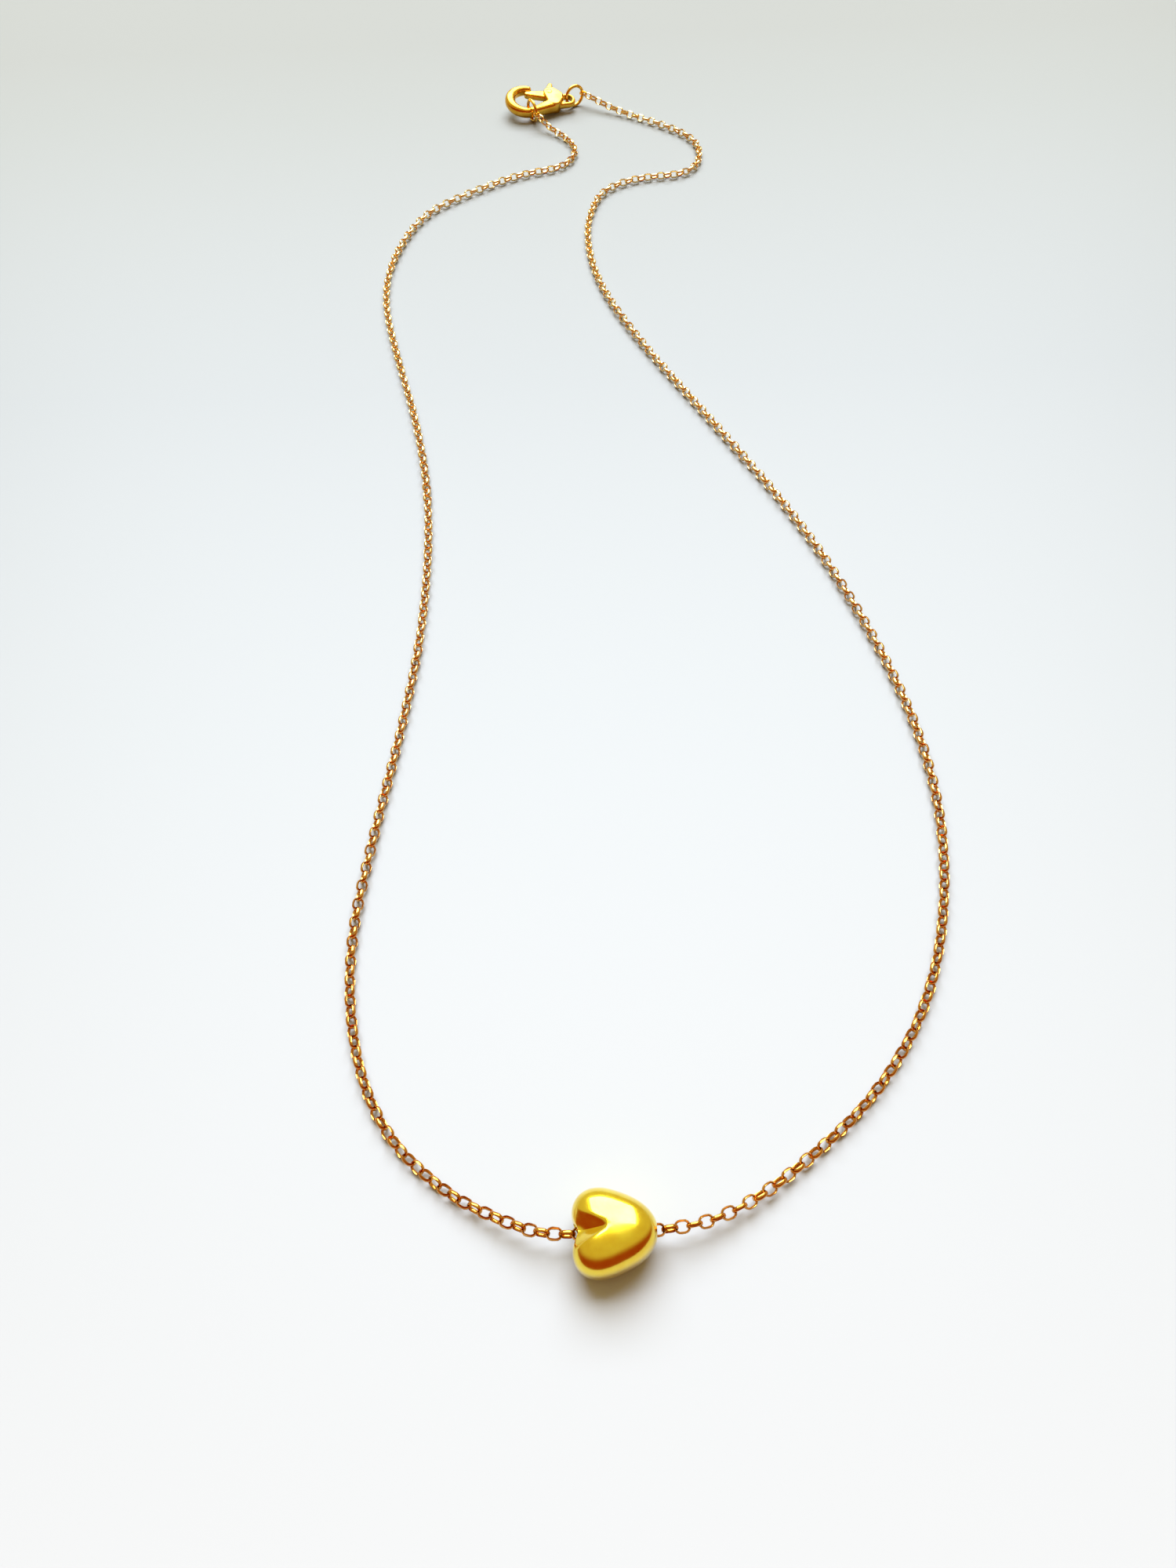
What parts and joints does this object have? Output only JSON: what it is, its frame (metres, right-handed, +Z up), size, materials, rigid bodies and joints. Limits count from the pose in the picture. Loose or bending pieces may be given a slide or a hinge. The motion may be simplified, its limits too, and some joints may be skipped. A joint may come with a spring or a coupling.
{
  "type": "pendant necklace",
  "caption": "Fine gold cable-chain necklace with a small puffed heart bead threaded on it and a lobster clasp, lying fastened and flat.",
  "frame": {"origin": "on the table, midway between the heart and the clasp: the centre of the bottom of the box round the heart, rings and clasp, without the chain", "axes": "+X along the bore of the heart, towards its tip; +Y from the heart to the clasp; +Z up from the table"},
  "size_m": [0.0623, 0.1954, 0.0045],
  "materials": {
    "heart_gold": "satin-polished yellow gold",
    "chain_gold": "polished yellow gold, faceted links",
    "clasp_gold": "polished cast yellow gold",
    "spring_steel": "bright drawn wire"
  },
  "bodies": {
    "chain": {"chain_links_in_heart": "chain_gold", "chain_right_run": "chain_gold", "chain_left_run": "chain_gold", "chain_right_end_link": "chain_gold", "chain_left_end_link": "chain_gold"},
    "heart": {"heart_front_shell": "heart_gold", "heart_back_shell": "heart_gold", "heart_lining_tube": "heart_gold"},
    "catch_ring": {"catch_ring": "chain_gold"},
    "eye_ring": {"eye_ring": "chain_gold"},
    "clasp": {"clasp_body": "clasp_gold", "clasp_rivet": "clasp_gold", "clasp_spring": "spring_steel"},
    "lever": {"clasp_lever": "clasp_gold"}
  },
  "joints": [
    {"name": "heart_spin", "type": "hinge", "parent": "chain", "child": "heart", "pos_m": [0.003, -0.0942, 0.00225], "axis": [1, 0, 0], "continuous": true},
    {"name": "catch_ring_swing", "type": "hinge", "parent": "chain", "child": "catch_ring", "pos_m": [-0.00218, 0.09007, 0.0018], "axis": [-0.4321, 0.9018, 0], "range_deg": [-12, 12]},
    {"name": "eye_ring_swing", "type": "hinge", "parent": "chain", "child": "eye_ring", "pos_m": [0.00492, 0.09447, 0.0018], "axis": [0.8671, 0.4981, 0], "range_deg": [-10, 10]},
    {"name": "clasp_roll", "type": "hinge", "parent": "eye_ring", "child": "clasp", "pos_m": [0.00367, 0.09375, 0.0018], "axis": [0.8671, 0.4981, 0], "range_deg": [-18, 12], "stiffness_Nm_per_rad": 0.001},
    {"name": "lever_open", "type": "hinge", "parent": "clasp", "child": "lever", "pos_m": [0.00062, 0.09459, 0.0018], "axis": [0.1036, -0.1803, 0.9781], "range_deg": [0, 22], "stiffness_Nm_per_rad": 0.0002, "springref_deg": -20.05}
  ]
}
